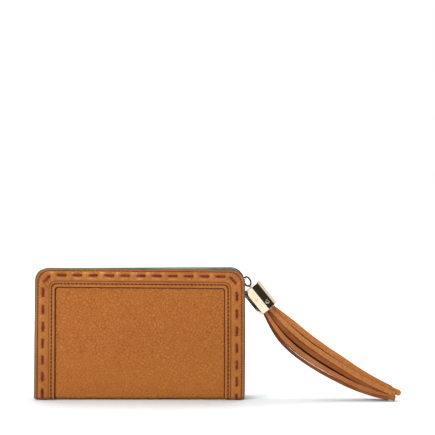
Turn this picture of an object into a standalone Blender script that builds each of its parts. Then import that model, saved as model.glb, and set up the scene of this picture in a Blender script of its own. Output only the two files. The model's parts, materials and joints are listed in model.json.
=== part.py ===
"""Zip-around wallet with hand-laced arch bands and a leather tassel on the zip slider.

Blender 4.5, metres, +Z up.  The wallet stands on its spine: X runs along the spine, the front
cover faces -Y, and the origin is in the middle of the flat resting face of the spine.
All sizes below are in millimetres.
"""
from math import cos, pi, radians, sin

import bmesh
import bpy
from mathutils import Vector

MM = 0.001

# Covers: an arch outline with round top corners, and layers counted outwards from the middle plane
WIDTH = 170.0
HEIGHT = 107.0
CORNER_RADIUS = 12.0
CORNER_TAPER = 0.5          # how much tighter the corner gets for each millimetre of inset
COVER_FOOT = 3.6            # lowest edge of a cover above the table
LINER_FOOT = 6.0
LEATHER = (9.8, 10.8)
BOARD = (8.7, 9.5)
LINING = (7.9, 8.4)
WELT_INSET = (11.7, 16.5)
WELT = (11.1, 12.0)
CORNER_STEPS = 6

# Fold lines beside the spine, which are the hinges of the two covers
FOLD_Y = 7.6
FOLD_Z = 3.2

# Lacing: running stitches through slots along the middle of the band
LACE_INSET = 6.8
LACE_WIDTH = 1.8
LACE_THICKNESS = 0.35
LACE_OUTSIDE = 12.45
LACE_HIDDEN = 11.22
STITCH_HALF = 3.6
SLOT_HALF = 0.8
LEFT_STITCH_TOP, LEFT_STITCH_PITCH, LEFT_STITCHES = 86.2, 13.45, 6
RIGHT_STITCH_TOP, RIGHT_STITCH_PITCH, RIGHT_STITCHES = 83.9, 13.8, 6
TOP_STITCH_FIRST, TOP_STITCH_PITCH, TOP_STITCHES = -63.2, 12.83, 11
LAST_SLOT_LEFT = LEFT_STITCH_TOP - LEFT_STITCHES * LEFT_STITCH_PITCH + STITCH_HALF
# Band section: (inset from the cover's edge, distance from the middle plane)
BAND_OUTSIDE = ((0.0, 8.3), (0.2, 11.4), (5.6, 12.2), (8.0, 12.2), (11.3, 11.4))
BAND_INSIDE = ((0.6, 8.3), (0.7, 11.1), (5.6, 11.6), (8.0, 11.6), (10.7, 11.1))
SLOT_ROW = 2

# Zip around three sides: tape wall and teeth, recessed behind the edges of the covers
TAPE_HALF_WIDTH = 81.0
TAPE_TOP = 104.9
TAPE_RADIUS = 9.0
TAPE_THICKNESS = 0.5
TEETH_HALF_WIDTH = 82.5
TEETH_TOP = 106.4
TEETH_RADIUS = 10.5
TEETH_THICKNESS = 1.2
ZIP_FOOT = 10.0
TOOTH_PITCH = 6.0
ROW_TIP, ROW_ROOT, ROW_BACK = 0.15, 1.1, 2.5
TAPE_EDGE, TAPE_BACK = 1.2, 7.6
OPEN_SHIFT = 1.6            # each row stands this much further out where the zip is open

# Slider of the main zip on the right-hand side, and its bail
SLIDER_Z = 94.5
SLIDER_LENGTH = 9.0
SLIDER_PLATE_INSIDE = (78.9, 79.5)
SLIDER_PLATE_OUTSIDE = (82.8, 83.4)
SLIDER_HALF_WIDTH = 4.3
POST_HALF = 0.8
BAIL_X, BAIL_Z = 86.0, 97.4
BAIL_HALF_SPAN = 1.9
BAIL_RADIUS = 0.55

# Ring and tassel cap hang down to the right in the middle plane, the ring more steeply
RING_ANGLE = radians(66.0)
RING_ALONG = Vector((cos(RING_ANGLE), 0.0, -sin(RING_ANGLE)))
RING_ACROSS = Vector((sin(RING_ANGLE), 0.0, cos(RING_ANGLE)))
TASSEL_ANGLE = radians(51.0)
ALONG = Vector((cos(TASSEL_ANGLE), 0.0, -sin(TASSEL_ANGLE)))
ACROSS = Vector((sin(TASSEL_ANGLE), 0.0, cos(TASSEL_ANGLE)))
RING_LONG, RING_SHORT, RING_WIRE = 4.0, 2.9, 0.6
RING_REACH = 2.65           # from the ring's centre to the bail and to the cap's loop
CAP_LOOP_RISE = 2.6
CAP_SIDE = 6.8              # side of the octagonal cap
CAP_LENGTH = 23.0
CAP_WALL = 0.9
CAP_TURN = radians(2.5)
FASTENER_RADIUS = 1.7
FASTENER_BORE = 1.0

# Tassel strands: two layers of flat strips on one drooping centre line
STRANDS_PER_LAYER = 4
STRAND_LAYERS = (-3.0, 3.0)
STRAND_THICKNESS = 1.6
STRAND_GAP = 0.35
STRAND_LINE = (
    (101.7, 0.0, 75.9), (104.9, -0.2, 71.9), (111.8, -1.0, 63.8), (120.6, -2.0, 54.4),
    (131.5, -3.2, 44.9), (145.0, -4.6, 35.4), (159.5, -6.4, 26.6), (174.5, -8.2, 18.0),
    (189.5, -10.0, 10.9), (204.0, -12.0, 5.3),
)
STRAND_SPREAD = (10.6, 10.8, 15.4, 19.4, 20.4, 20.0, 19.0, 16.8, 13.4, 9.6)

# Coin pocket in the middle, with its own zip along the top
COIN_HALF_LENGTH = 66.0
COIN_WALL = (1.0, 1.5)
COIN_FOOT, COIN_TOP = 3.6, 84.0
COIN_TAPE_TOP = 86.4
COIN_TEETH = (86.7, 87.7)
COIN_ZIP_HALF_LENGTH = 62.0
COIN_SLIDER_X = -54.0
COIN_SLIDER_LENGTH = 6.0
COIN_BAIL_Z = 91.0

# Gussets: V-shaped side pleats, one leaf on a cover and one on the spine
PLEAT_MOUTH, PLEAT_THROAT = 78.2, 64.0
PLEAT_FOOT, PLEAT_TOP = 8.0, 98.0
PLEAT_THICKNESS = 0.4

# Pockets on the linings: (name, half length, top, distance from the middle plane)
POCKET_THICKNESS = 0.35
POCKET_HALF_LENGTH = 60.0
FRONT_POCKETS = (("front_slip_pocket", 78.0, 7.25),)
BACK_POCKETS = (
    ("card_pocket_1", 76.0, 7.25), ("card_pocket_2", 63.0, 6.6), ("card_pocket_3", 50.0, 5.95),
)

FINISHES = {
    "pebbled_leather": ((0.45, 0.15, 0.035), 0.55, 0.0),
    "smooth_leather": ((0.47, 0.17, 0.045), 0.42, 0.0),
    "lace_leather": ((0.17, 0.045, 0.022), 0.5, 0.0),
    "tassel_leather": ((0.52, 0.22, 0.07), 0.6, 0.0),
    "lining_leather": ((0.36, 0.16, 0.06), 0.65, 0.0),
    "board": ((0.25, 0.2, 0.15), 0.9, 0.0),
    "zip_tape": ((0.24, 0.19, 0.13), 0.85, 0.0),
    "zip_metal": ((0.62, 0.5, 0.3), 0.3, 1.0),
    "cap_metal": ((0.85, 0.68, 0.42), 0.12, 1.0),
}


# ---------------------------------------------------------------- scene and mesh helpers

def clear_scene():
    for item in list(bpy.data.objects):
        bpy.data.objects.remove(item, do_unlink=True)


def finish_material(name):
    """Principled material of one of the FINISHES, made once."""
    found = bpy.data.materials.get(name)
    if found:
        return found
    colour, roughness, metallic = FINISHES[name]
    made = bpy.data.materials.new(name)
    made.use_nodes = True
    shader = made.node_tree.nodes["Principled BSDF"]
    shader.inputs["Base Color"].default_value = (*colour, 1.0)
    shader.inputs["Roughness"].default_value = roughness
    shader.inputs["Metallic"].default_value = metallic
    made.diffuse_color = (*colour, 1.0)
    return made


def pivot(name, place, parent=None):
    """Empty at a joint's axis; the pieces that move there are its children."""
    empty = bpy.data.objects.new(name, None)
    bpy.context.collection.objects.link(empty)
    empty["place"] = list(place)
    empty.location = Vector(place) * MM
    if parent:
        empty.parent = parent
        empty.location -= Vector(parent["place"]) * MM
    return empty


def node(name, shape, finish, parent, helper=False):
    """Object from (points, faces) in world millimetres, with its origin on its parent empty."""
    points, faces = shape
    origin = Vector(parent["place"])
    mesh = bpy.data.meshes.new(name)
    mesh.from_pydata([(Vector(p) - origin) * MM for p in points], [], faces)
    edit = bmesh.new()
    edit.from_mesh(mesh)
    bmesh.ops.recalc_face_normals(edit, faces=edit.faces)
    edit.to_mesh(mesh)
    edit.free()
    mesh.materials.append(finish_material(finish))
    made = bpy.data.objects.new(name, mesh)
    bpy.context.collection.objects.link(made)
    made.parent = parent
    if helper:
        made.hide_render = True
        made.display_type = "WIRE"
    return made


def combine(target, other, operation):
    """Boolean modifier that joins or cuts the target with a helper object."""
    step = target.modifiers.new(other.name, "BOOLEAN")
    step.operation = operation
    step.object = other
    step.solver = "EXACT"


def smooth_curve(points, steps):
    """Catmull-Rom curve through the points, with the given number of steps for each span."""
    ends = [points[0] * 2 - points[1]] + list(points) + [points[-1] * 2 - points[-2]]
    curve = []
    for a, b, c, d in zip(ends, ends[1:], ends[2:], ends[3:]):
        for k in range(steps):
            t = k / steps
            curve.append(0.5 * (2 * b + (c - a) * t + (2 * a - 5 * b + 4 * c - d) * t ** 2
                                + (3 * b - a - 3 * c + d) * t ** 3))
    curve.append(points[-1])
    return curve


# ---------------------------------------------------------------- shapes

def prism(outline, low, high, place):
    """Outline extruded from low to high; place(a, b, height) gives the point."""
    count = len(outline)
    points = [place(a, b, low) for a, b in outline] + [place(a, b, high) for a, b in outline]
    faces = [list(range(count)), list(range(count, 2 * count))]
    faces += [[k, (k + 1) % count, count + (k + 1) % count, count + k] for k in range(count)]
    return points, faces


def along_x(y, z, x):
    return (x, y, z)


def along_y(x, z, y):
    return (x, y, z)


def along_z(x, y, z):
    return (x, y, z)


def slab(outside, inside, skipped=()):
    """Closed sheet between two grids of points; the skipped cells become holes through it."""
    rows, columns = len(outside), len(outside[0])
    points = [p for row in outside for p in row] + [p for row in inside for p in row]
    offset = rows * columns
    faces = []
    border = {}
    for i in range(rows - 1):
        for j in range(columns - 1):
            if (i, j) in skipped:
                continue
            cell = [i * columns + j, (i + 1) * columns + j, (i + 1) * columns + j + 1,
                    i * columns + j + 1]
            faces.append(cell)
            faces.append([offset + k for k in reversed(cell)])
            for a, b in zip(cell, cell[1:] + cell[:1]):
                if (b, a) in border:
                    del border[(b, a)]
                else:
                    border[(a, b)] = True
    faces += [[b, a, offset + a, offset + b] for a, b in border]
    used = sorted({k for face in faces for k in face})
    renumber = {old: new for new, old in enumerate(used)}
    return [points[k] for k in used], [[renumber[k] for k in face] for face in faces]


def loft(rings, closed=False):
    """Rings of equal size joined in order, with flat ends or closed into a loop."""
    size = len(rings[0])
    points = [p for ring in rings for p in ring]
    faces = []
    spans = len(rings) if closed else len(rings) - 1
    for i in range(spans):
        a, b = i * size, ((i + 1) % len(rings)) * size
        faces += [[a + k, a + (k + 1) % size, b + (k + 1) % size, b + k] for k in range(size)]
    if not closed:
        faces += [list(range(size)), list(range((len(rings) - 1) * size, len(rings) * size))]
    return points, faces


def directions(path, closed=False):
    """Unit tangent at each point of a path."""
    last = len(path) - 1
    result = []
    for k in range(len(path)):
        before = path[k - 1] if closed or k else path[k]
        after = path[(k + 1) % len(path)] if closed or k < last else path[k]
        result.append((after - before).normalized())
    return result


def wire(path, radius, side, sides=8, closed=False):
    """Round wire along a flat path; side is the direction square to the path's plane."""
    rings = []
    for place, tangent in zip(path, directions(path, closed)):
        normal = tangent.cross(side)
        rings.append([place + radius * (cos(a) * side + sin(a) * normal)
                      for a in (2 * pi * k / sides for k in range(sides))])
    return loft(rings, closed)


def arch(inset, left=(), right=(), top=(), corner=(), half=WIDTH / 2, height=HEIGHT, radius=None):
    """Arch from the left foot over the top to the right foot.

    left and right are heights on the sides, top holds places along the top, and corner holds
    angles in each round corner.
    """
    half, height = half - inset, height - inset
    radius = CORNER_RADIUS - CORNER_TAPER * inset if radius is None else radius
    middle_x, middle_z = half - radius, height - radius
    points = [(-half, z) for z in left]
    points += [(-middle_x - radius * cos(a), middle_z + radius * sin(a)) for a in corner]
    points += [(x, height) for x in top]
    points += [(middle_x + radius * cos(a), middle_z + radius * sin(a)) for a in reversed(corner)]
    points += [(half, z) for z in right]
    return points


def round_corner(steps=CORNER_STEPS):
    return [radians(90.0) * k / steps for k in range(steps + 1)]


def cover_plate(inset, foot, layers, side):
    outline = arch(inset, left=(foot,), right=(foot,), corner=round_corner())
    return prism(outline, side * layers[0], side * layers[1], along_y)


# ---------------------------------------------------------------- laced band

def stitch_plan():
    """Running stitches in order round the arch, each as its two ends.

    An end is ("left", z), ("left_corner", angle), ("top", x), ("right_corner", angle) or
    ("right", z).
    """
    swing = STITCH_HALF / (CORNER_RADIUS - CORNER_TAPER * LACE_INSET)
    middle = radians(45.0)
    plan = []
    for k in reversed(range(LEFT_STITCHES)):
        z = LEFT_STITCH_TOP - k * LEFT_STITCH_PITCH
        plan.append((("left", z - STITCH_HALF), ("left", z + STITCH_HALF)))
    plan.append((("left_corner", middle - swing), ("left_corner", middle + swing)))
    for k in range(TOP_STITCHES):
        x = TOP_STITCH_FIRST + k * TOP_STITCH_PITCH
        plan.append((("top", x - STITCH_HALF), ("top", x + STITCH_HALF)))
    plan.append((("right_corner", middle + swing), ("right_corner", middle - swing)))
    for k in range(RIGHT_STITCHES):
        z = RIGHT_STITCH_TOP - k * RIGHT_STITCH_PITCH
        plan.append((("right", z + STITCH_HALF), ("right", z - STITCH_HALF)))
    return plan


def slot_ends(end):
    """The two stations on either side of a slot, in the order of travel round the arch."""
    part, value = end
    half = SLOT_HALF
    if part.endswith("corner"):
        half = SLOT_HALF / (CORNER_RADIUS - CORNER_TAPER * LACE_INSET)
    forward = -half if part in ("right_corner", "right") else half
    return (part, value - forward), (part, value + forward)


def arch_stations():
    """Stations of the band in order, each with whether a slot and a raised lace follow it."""
    stations = [(("left", COVER_FOOT), False, True)]
    stitches = stitch_plan()
    ends = [("left", LAST_SLOT_LEFT)] + [end for stitch in stitches for end in stitch]
    raised = True
    for end in ends:
        before, after = slot_ends(end)
        raised = not raised
        stations += [(before, True, raised), (after, False, raised)]
        if raised and end[0].endswith("corner"):
            across = radians(90.0) - 2 * end[1]
            stations += [((end[0], end[1] + across * t), False, raised) for t in (0.3, 0.5, 0.7)]
    stations.append((("right", COVER_FOOT), False, raised))
    return stations


def station_point(station, inset, level, side):
    """Point of the cover at a station, an inset from the edge and a layer level."""
    part, value = station
    options = {"left": {"left": (value,)}, "right": {"right": (value,)},
               "top": {"top": (value,)}}.get(part)
    if options is None:
        points = arch(inset, corner=(value,))
        x, z = points[0] if part == "left_corner" else points[1]
    else:
        x, z = arch(inset, **options)[0]
    return Vector((x, side * level, z))


def band_shape(side):
    stations = arch_stations()
    outside = [[station_point(s[0], d, y, side) for d, y in BAND_OUTSIDE] for s in stations]
    inside = [[station_point(s[0], d, y, side) for d, y in BAND_INSIDE] for s in stations]
    slots = {(k, SLOT_ROW) for k, station in enumerate(stations) if station[1]}
    return slab(outside, inside, slots)


def lace_shape(side):
    """One flat lace that dips through every slot of the band."""
    inner, outer = LACE_INSET + LACE_WIDTH / 2, LACE_INSET - LACE_WIDTH / 2
    half = LACE_THICKNESS / 2
    rings = []
    raised = True
    for station, _, raised_after in arch_stations():
        place = station if station[1] != COVER_FOOT else (station[0], COVER_FOOT + 0.6)
        level = LACE_OUTSIDE if raised else LACE_HIDDEN
        rings.append([station_point(place, outer, level - half, side),
                      station_point(place, outer, level + half, side),
                      station_point(place, inner, level + half, side),
                      station_point(place, inner, level - half, side)])
        raised = raised_after
    return loft(rings)


# ---------------------------------------------------------------- zip

def zip_path(half, height, radius, spacing):
    """Evenly spaced points round the arch of the zip, each with its unit normal outwards."""
    straight = height - radius - ZIP_FOOT
    across = 2 * (half - radius)
    turn = pi / 2 * radius
    total = 2 * straight + across + 2 * turn
    count = round(total / spacing)
    result = []
    for k in range(count + 1):
        s = total * k / count
        if s < straight:
            result.append((Vector((-half, 0.0, ZIP_FOOT + s)), Vector((-1.0, 0.0, 0.0))))
        elif s < straight + turn:
            a = (s - straight) / radius
            out = Vector((-cos(a), 0.0, sin(a)))
            result.append((Vector((radius - half, 0.0, height - radius)) + radius * out, out))
        elif s < straight + turn + across:
            x = s - straight - turn - across / 2
            result.append((Vector((x, 0.0, height)), Vector((0.0, 0.0, 1.0))))
        elif s < total - straight:
            a = (s - straight - turn - across) / radius
            out = Vector((sin(a), 0.0, cos(a)))
            result.append((Vector((half - radius, 0.0, height - radius)) + radius * out, out))
        else:
            result.append((Vector((half, 0.0, ZIP_FOOT + total - s)), Vector((1.0, 0.0, 0.0))))
    return result


def row_shift(place):
    """How far a row stands from the middle: the zip is open below the slider on the right."""
    opened = place.x > 0 and place.z < SLIDER_Z + SLIDER_LENGTH
    return OPEN_SHIFT if opened else 0.0


def strip_on_zip(path, thickness, edges, side, skipped=()):
    """Strip whose long edges lie at the given distances from the middle plane."""
    outside, inside = [], []
    for place, out in path:
        shift = row_shift(place)
        far = [e if e == TAPE_BACK else e + shift for e in edges]
        outside.append([place + Vector((0.0, side * e, 0.0)) for e in far])
        inside.append([place - thickness * out + Vector((0.0, side * e, 0.0)) for e in far])
    return slab(outside, inside, skipped)


def tape_shape(side):
    path = zip_path(TAPE_HALF_WIDTH, TAPE_TOP, TAPE_RADIUS, TOOTH_PITCH)
    return strip_on_zip(path, TAPE_THICKNESS, (TAPE_EDGE, TAPE_BACK), side)


def teeth_shape(side):
    """Row of teeth on a rail; the two rows take alternate places."""
    path = zip_path(TEETH_HALF_WIDTH, TEETH_TOP, TEETH_RADIUS, TOOTH_PITCH / 2)
    first = 0 if side < 0 else 1
    gaps = {(k, 0) for k in range(len(path) - 1) if k % 2 == first}
    return strip_on_zip(path, TEETH_THICKNESS, (ROW_TIP, ROW_ROOT, ROW_BACK), side, gaps)


def box(low, high):
    outline = [(low[0], low[1]), (high[0], low[1]), (high[0], high[1]), (low[0], high[1])]
    return prism(outline, low[2], high[2], along_z)


# ---------------------------------------------------------------- bodies

def add_cover(prefix, side, parent):
    """Every layer of one cover; side is -1 for the front and 1 for the back."""
    node(prefix + "_leather", cover_plate(1.2, COVER_FOOT, LEATHER, side), "pebbled_leather", parent)
    node(prefix + "_board", cover_plate(2.4, LINER_FOOT, BOARD, side), "board", parent)
    node(prefix + "_lining", cover_plate(2.6, LINER_FOOT, LINING, side), "lining_leather", parent)
    node(prefix + "_band", band_shape(side), "smooth_leather", parent)
    node(prefix + "_lace", lace_shape(side), "lace_leather", parent)

    corner = round_corner()
    rings = [arch(d, left=(COVER_FOOT,), right=(COVER_FOOT,), corner=corner) for d in WELT_INSET]
    outside = [[(x, side * WELT[1], z) for x, z in pair] for pair in zip(*rings)]
    inside = [[(x, side * WELT[0], z) for x, z in pair] for pair in zip(*rings)]
    node(prefix + "_welt", slab(outside, inside), "smooth_leather", parent)

    node(prefix + "_zip_tape", tape_shape(side), "zip_tape", parent)
    node(prefix + "_zip_teeth", teeth_shape(side), "zip_metal", parent)
    stop_y = sorted((side * (ROW_ROOT + OPEN_SHIFT), side * (ROW_BACK + OPEN_SHIFT)))
    stop_low = (TEETH_HALF_WIDTH - TEETH_THICKNESS, stop_y[0], ZIP_FOOT - 3.0)
    stop_high = (TEETH_HALF_WIDTH, stop_y[1], ZIP_FOOT - 0.5)
    node(prefix + "_zip_stop", box(stop_low, stop_high), "zip_metal", parent)

    for hand, sign in (("left", -1), ("right", 1)):
        leaf = pleat_leaf(sign, side, 7.2, 4.6)
        node(prefix + "_gusset_" + hand, leaf, "lining_leather", parent)

    for name, top, level in FRONT_POCKETS if side < 0 else BACK_POCKETS:
        ends = sorted((side * level, side * (level + POCKET_THICKNESS)))
        low = (-POCKET_HALF_LENGTH, ends[0], LINER_FOOT + 2.0)
        high = (POCKET_HALF_LENGTH, ends[1], top)
        node(name, box(low, high), "lining_leather", parent)


def pleat_leaf(sign, side, at_mouth, at_throat):
    """One upright leaf of a side pleat, from the mouth of the V to its throat."""
    half = PLEAT_THICKNESS / 2
    outline = [(sign * PLEAT_MOUTH, side * (at_mouth - half)),
               (sign * PLEAT_MOUTH, side * (at_mouth + half)),
               (sign * PLEAT_THROAT, side * (at_throat + half)),
               (sign * PLEAT_THROAT, side * (at_throat - half))]
    return prism(outline, PLEAT_FOOT, PLEAT_TOP, along_z)


def spine_section(flat, shoulder, lip):
    """Section of the spine's skin: flat where it rests, then rounding up beside each fold."""
    outside = [(4.0, flat), (6.0, flat + 0.2 * shoulder), (7.6, flat + 0.5 * shoulder),
               (9.0, flat + shoulder), (10.1, lip)]
    inside = [(9.6, lip + 0.6), (8.6, 1.75), (7.4, 1.4), (4.0, 1.1)]
    half = outside + inside
    return half + [(-y, z) for y, z in reversed(half)]


def add_spine(parent):
    panel = WIDTH / 2 - WELT_INSET[1]
    welt = (panel + 0.3, WIDTH / 2 - WELT_INSET[0])
    band = (welt[1] + 0.3, WIDTH / 2 - 0.6)
    leather = spine_section(0.0, 1.1, 1.7)
    node("spine_leather", prism(leather, -panel, panel, along_x), "pebbled_leather", parent)
    for hand, sign in (("left", -1), ("right", 1)):
        section = spine_section(0.0, 0.9, 1.6)
        shape = prism(section, sign * welt[0], sign * welt[1], along_x)
        node("spine_welt_" + hand, shape, "smooth_leather", parent)
        section = spine_section(0.35, 0.9, 1.7)
        shape = prism(section, sign * band[0], sign * band[1], along_x)
        node("spine_band_" + hand, shape, "smooth_leather", parent)
    node("spine_stiffener", box((-84.0, -6.4, 1.5), (84.0, 6.4, 2.4)), "board", parent)
    node("spine_lining", box((-81.0, -6.8, 2.7), (81.0, 6.8, 3.2)), "lining_leather", parent)


def add_coin_pocket(parent):
    for name, side in (("front", -1), ("back", 1)):
        ends = sorted(side * level for level in COIN_WALL)
        wall = box((-COIN_HALF_LENGTH, ends[0], COIN_FOOT), (COIN_HALF_LENGTH, ends[1], COIN_TOP))
        node("coin_pocket_" + name + "_wall", wall, "lining_leather", parent)
        top = COIN_TAPE_TOP
        section = [(1.6, top), (3.6, top), (1.5, COIN_TOP + 0.3), (1.0, COIN_TOP + 0.3),
                   (2.8, top - 0.4), (1.6, top - 0.4)]
        section = [(side * y, z) for y, z in section]
        tape = prism(section, -COIN_ZIP_HALF_LENGTH, COIN_ZIP_HALF_LENGTH, along_x)
        node("coin_zip_tape_" + name, tape, "zip_tape", parent)
        node("coin_zip_teeth_" + name, coin_teeth(side), "zip_metal", parent)
        for hand, sign in (("left", -1), ("right", 1)):
            leaf = pleat_leaf(sign, side, 2.0, 4.0)
            node("inner_gusset_" + name + "_" + hand, leaf, "lining_leather", parent)


def coin_teeth(side):
    count = round(2 * COIN_ZIP_HALF_LENGTH / (TOOTH_PITCH / 2))
    first = 0 if side < 0 else 1
    levels = [side * y for y in (1.1, 2.1, 3.0)]
    rows = []
    for z in reversed(COIN_TEETH):
        places = [-COIN_ZIP_HALF_LENGTH + 2 * COIN_ZIP_HALF_LENGTH * k / count
                  for k in range(count + 1)]
        rows.append([[(x, y, z) for y in levels] for x in places])
    return slab(rows[0], rows[1], {(k, 0) for k in range(count) if k % 2 == first})


def bail_path(foot, reach, half_span, out, centre):
    """Bent wire bridge: up from one foot, across, and down to the other foot."""
    across = Vector((0.0, half_span, 0.0))
    bend = 0.5
    points = [centre - across + out * (foot - reach), centre - across - out * bend]
    points += [centre - across * (1 - bend / half_span), centre + across * (1 - bend / half_span)]
    points += [centre + across - out * bend, centre + across + out * (foot - reach)]
    return points


def add_zip_slider(parent):
    inner, outer = SLIDER_PLATE_INSIDE, SLIDER_PLATE_OUTSIDE
    wide, post = SLIDER_HALF_WIDTH, POST_HALF
    half_section = [(inner[0], wide), (inner[1], wide), (inner[1], post), (outer[0], post),
                    (outer[0], wide), (outer[1], wide)]
    section = half_section + [(x, -y) for x, y in reversed(half_section)]
    low, high = SLIDER_Z - SLIDER_LENGTH / 2, SLIDER_Z + SLIDER_LENGTH / 2
    slider = node("zip_slider", prism(section, low, high, along_z), "cap_metal", parent)
    out = Vector((1.0, 0.0, 0.0))
    centre = Vector((BAIL_X, 0.0, BAIL_Z))
    path = bail_path(outer[0] + 0.3, BAIL_X, BAIL_HALF_SPAN, out, centre)
    bail = wire(path, BAIL_RADIUS, Vector((0.0, 0.0, 1.0)))
    combine(slider, node("zip_slider_bail", bail, "cap_metal", parent, helper=True), "UNION")


def add_ring(parent):
    centre = Vector((BAIL_X, 0.0, BAIL_Z)) + RING_REACH * RING_ALONG
    steps = 20
    path = [centre + RING_LONG * cos(2 * pi * k / steps) * RING_ALONG
            + RING_SHORT * sin(2 * pi * k / steps) * RING_ACROSS for k in range(steps)]
    ring = wire(path, RING_WIRE, Vector((0.0, 1.0, 0.0)), closed=True)
    node("pull_ring", ring, "cap_metal", parent)


def octagon(centre, side_length):
    """Octagon square to the tassel's line, with one corner turned almost to the front."""
    radius = side_length / (2 * sin(pi / 8))
    corners = []
    for k in range(8):
        a = CAP_TURN + 2 * pi * k / 8
        corners.append(centre + radius * (sin(a) * ACROSS - cos(a) * Vector((0.0, 1.0, 0.0))))
    return corners


def add_cap(parent, loop_centre):
    """Octagonal cup with a wire loop on top, and the two fasteners through its wall."""
    top = loop_centre + CAP_LOOP_RISE * ALONG
    bottom = top + CAP_LENGTH * ALONG
    inner_side = CAP_SIDE * (1 - 2 * CAP_WALL / (CAP_SIDE * (1 + 2 ** 0.5)))
    rings = [octagon(top, CAP_SIDE), octagon(bottom, CAP_SIDE), octagon(bottom, inner_side),
             octagon(top + CAP_WALL * ALONG, inner_side)]
    cap = node("tassel_cap", loft(rings), "cap_metal", parent)
    path = bail_path(CAP_LOOP_RISE + 0.3, 0.0, BAIL_HALF_SPAN, -ALONG, Vector((0.0, 0.0, 0.0)))
    path = [loop_centre + Vector((0.0, p.y, 0.0)) + abs(p.dot(ALONG)) * ALONG for p in path]
    loop = wire(path, BAIL_RADIUS, ACROSS)
    combine(cap, node("tassel_cap_loop", loop, "cap_metal", parent, helper=True), "UNION")
    apothem = CAP_SIDE * (1 + 2 ** 0.5) / 2
    for name, facet, distance in (("cap_screw", 1, 17.0), ("cap_rivet", -1, 11.0)):
        angle = CAP_TURN + facet * pi / 8
        out = sin(angle) * ACROSS - cos(angle) * Vector((0.0, 1.0, 0.0))
        seat = top + distance * ALONG + apothem * out
        bore = fastener(seat, out, ((-2.0, FASTENER_BORE), (1.0, FASTENER_BORE)))
        combine(cap, node(name + "_bore", bore, "cap_metal", parent, helper=True), "DIFFERENCE")
        shank = FASTENER_BORE - 0.3
        head = ((0.9, FASTENER_RADIUS * 0.8), (0.6, FASTENER_RADIUS), (0.25, FASTENER_RADIUS),
                (0.25, shank), (-1.6, shank))
        node(name, fastener(seat, out, head), "cap_metal", parent)


def fastener(seat, out, profile, sides=12):
    """Turned pin on a facet of the cap, from (height, radius) pairs."""
    rings = []
    for height, radius in profile:
        rings.append([seat + height * out + radius * (cos(a) * ALONG + sin(a) * out.cross(ALONG))
                      for a in (2 * pi * k / sides for k in range(sides))])
    return loft(rings)


def add_strands(parent):
    """Flat strips fanned side by side in two layers, thinner where they come together."""
    line = smooth_curve([Vector(p) for p in STRAND_LINE], 2)
    spread = smooth_curve([Vector((w, 0.0, 0.0)) for w in STRAND_SPREAD], 2)
    tangents = directions(line)
    front = Vector((0.0, -1.0, 0.0))
    for layer, level in enumerate(STRAND_LAYERS):
        for k in range(STRANDS_PER_LAYER):
            rings = []
            for place, width, tangent in zip(line, spread, tangents):
                up = front.cross(tangent).normalized()
                if up.z < 0:
                    up.negate()
                pitch = width.x / STRANDS_PER_LAYER
                middle = place + up * pitch * (k - (STRANDS_PER_LAYER - 1) / 2)
                middle.y += level
                wide = up * (pitch - STRAND_GAP) / 2
                thick = Vector((0.0, STRAND_THICKNESS / 2, 0.0))
                rings.append([middle - wide - thick, middle + wide - thick,
                              middle + wide + thick, middle - wide + thick])
            name = "tassel_strand_%d" % (layer * STRANDS_PER_LAYER + k + 1)
            node(name, loft(rings), "tassel_leather", parent)


def add_coin_slider(parent, puller_parent):
    low, high = COIN_SLIDER_X - COIN_SLIDER_LENGTH / 2, COIN_SLIDER_X + COIN_SLIDER_LENGTH / 2
    half_section = [(0.9, 84.9), (0.9, 85.5), (0.6, 85.5), (0.6, 88.1), (3.0, 88.1), (3.0, 88.7)]
    section = half_section + [(-y, z) for y, z in reversed(half_section)]
    slider = node("coin_slider", prism(section, low, high, along_x), "zip_metal", parent)
    centre = Vector((COIN_SLIDER_X, 0.0, COIN_BAIL_Z))
    path = bail_path(88.4, COIN_BAIL_Z, BAIL_HALF_SPAN, Vector((0.0, 0.0, 1.0)), centre)
    bail = wire(path, 0.4, Vector((1.0, 0.0, 0.0)))
    combine(slider, node("coin_slider_bail", bail, "zip_metal", parent, helper=True), "UNION")

    stations = [COIN_SLIDER_X + d for d in (-1.7, -0.9, 0.9, 10.0)]
    levels = [COIN_BAIL_Z + d for d in (-1.7, -0.9, 0.9, 1.7)]
    sheets = [[[(x, y, z) for z in levels] for x in stations] for y in (-0.3, 0.3)]
    node("coin_puller", slab(sheets[0], sheets[1], {(1, 1)}), "zip_metal", puller_parent)


def main():
    clear_scene()
    spine = pivot("spine", (0.0, 0.0, 0.0))
    front = pivot("front_cover", (0.0, -FOLD_Y, FOLD_Z), spine)
    back = pivot("back_cover", (0.0, FOLD_Y, FOLD_Z), spine)
    slider = pivot("zip_slider_body", (BAIL_X, 0.0, SLIDER_Z), back)
    ring = pivot("ring_body", (BAIL_X, 0.0, BAIL_Z), slider)
    loop_centre = Vector((BAIL_X, 0.0, BAIL_Z)) + 2 * RING_REACH * RING_ALONG
    tassel = pivot("tassel_body", loop_centre, ring)
    coin = pivot("coin_slider_body", (COIN_SLIDER_X, 0.0, COIN_BAIL_Z), spine)
    puller = pivot("coin_puller_body", (COIN_SLIDER_X, 0.0, COIN_BAIL_Z), coin)
    add_spine(spine)
    add_coin_pocket(spine)
    add_cover("front", -1, front)
    add_cover("back", 1, back)
    add_zip_slider(slider)
    add_ring(ring)
    add_cap(tassel, loop_centre)
    add_strands(tassel)
    add_coin_slider(coin, puller)


main()
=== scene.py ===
import json
from math import cos, pi, radians, sin

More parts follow.
